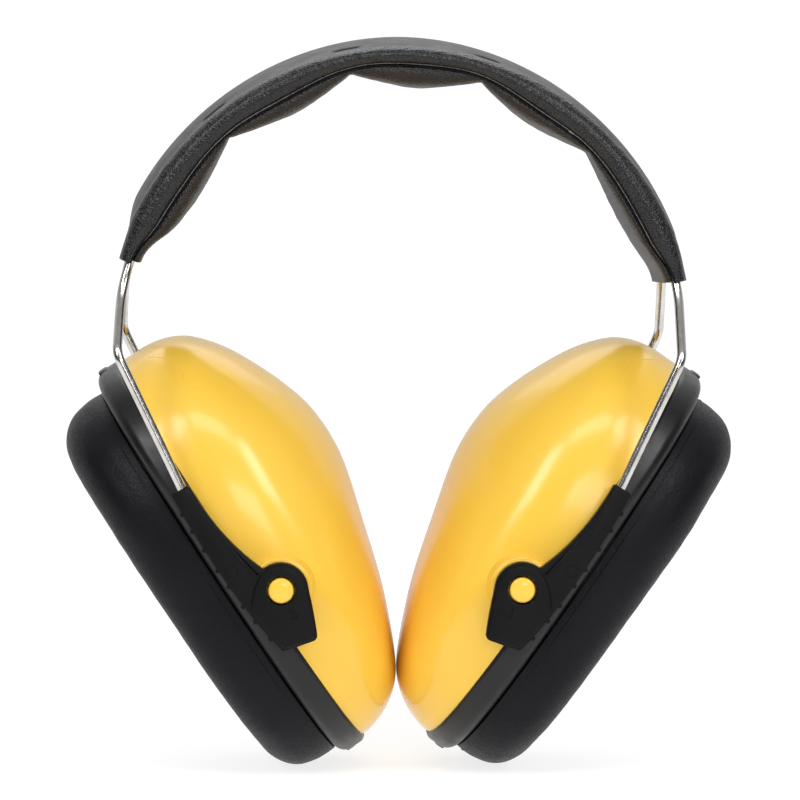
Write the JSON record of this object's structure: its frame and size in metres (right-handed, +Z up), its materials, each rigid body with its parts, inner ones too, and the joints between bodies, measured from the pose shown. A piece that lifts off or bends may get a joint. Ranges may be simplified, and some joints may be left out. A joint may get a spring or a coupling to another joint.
{
  "type": "earmuff hearing protector",
  "caption": "Over-the-head earmuff with padded headband, twin spring wires, sliding pivot arms and deep ear cups turned inside out.",
  "frame": {"origin": "on the floor under the middle of the object, which stands on its two cushions' lower edges", "axes": "+X towards the right cup in the picture, +Y from the front wires to the rear wires, +Z up towards the headband's crown"},
  "size_m": [0.142, 0.084, 0.1557],
  "materials": {
    "cup_plastic": "glossy injection-moulded yellow ABS",
    "rim_plastic": "satin black moulded plastic",
    "arm_plastic": "satin black moulded plastic with a fine spark texture",
    "spring_wire": "bright nickel-plated spring steel",
    "band_leather": "black leather-grain PVC",
    "band_plastic": "satin black plastic sheet",
    "pad_leather": "black-brown leather-grain PVC over foam",
    "cushion_leather": "smooth black PVC leather",
    "foam": "open-cell charcoal foam"
  },
  "bodies": {
    "headband": {"headband_cover": "band_leather", "headband_plate": "band_plastic", "headband_pad": "pad_leather", "front_wire_crown": "spring_wire", "rear_wire_crown": "spring_wire"},
    "left_leg": {"left_front_wire": "spring_wire", "left_rear_wire": "spring_wire"},
    "left_arms": {"left_front_arm": "arm_plastic", "left_rear_arm": "arm_plastic"},
    "left_cup": {"left_cup_shell": "cup_plastic", "left_cup_rim": "rim_plastic", "left_cup_liner": "foam", "left_cushion_plate": "rim_plastic", "left_cushion_foam": "foam", "left_cushion_skin": "cushion_leather"},
    "right_leg": {"right_front_wire": "spring_wire", "right_rear_wire": "spring_wire"},
    "right_arms": {"right_front_arm": "arm_plastic", "right_rear_arm": "arm_plastic"},
    "right_cup": {"right_cup_shell": "cup_plastic", "right_cup_rim": "rim_plastic", "right_cup_liner": "foam", "right_cushion_plate": "rim_plastic", "right_cushion_foam": "foam", "right_cushion_skin": "cushion_leather"}
  },
  "joints": [
    {"name": "left_leg_spread", "type": "hinge", "parent": "headband", "child": "left_leg", "pos_m": [-0.0365, 0, 0.1272], "axis": [0, 1, 0], "range_deg": [0, 32.2], "stiffness_Nm_per_rad": 1.8, "deforming": ["headband_cover", "headband_plate", "headband_pad", "front_wire_crown", "rear_wire_crown"]},
    {"name": "left_height", "type": "slide", "parent": "left_leg", "child": "left_arms", "axis": [-0.4289, 0, 0.9033], "range_m": [0, 0.012]},
    {"name": "left_cup_turn", "type": "hinge", "parent": "left_arms", "child": "left_cup", "pos_m": [-0.02525, 0, 0.0414], "axis": [0, -1, 0], "range_deg": [0, 178.5]},
    {"name": "right_leg_spread", "type": "hinge", "parent": "headband", "child": "right_leg", "pos_m": [0.0365, 0, 0.1272], "axis": [0, -1, 0], "range_deg": [0, 32.2], "stiffness_Nm_per_rad": 1.8, "deforming": ["headband_cover", "headband_plate", "headband_pad", "front_wire_crown", "rear_wire_crown"]},
    {"name": "right_height", "type": "slide", "parent": "right_leg", "child": "right_arms", "axis": [0.4289, 0, 0.9033], "range_m": [0, 0.012]},
    {"name": "right_cup_turn", "type": "hinge", "parent": "right_arms", "child": "right_cup", "pos_m": [0.02525, 0, 0.0414], "axis": [0, 1, 0], "range_deg": [0, 178.5]}
  ],
  "couplings": [
    {"joint": "left_leg_spread", "follows": "left_cup_turn", "ratio": 0.18},
    {"joint": "right_leg_spread", "follows": "right_cup_turn", "ratio": 0.18}
  ]
}
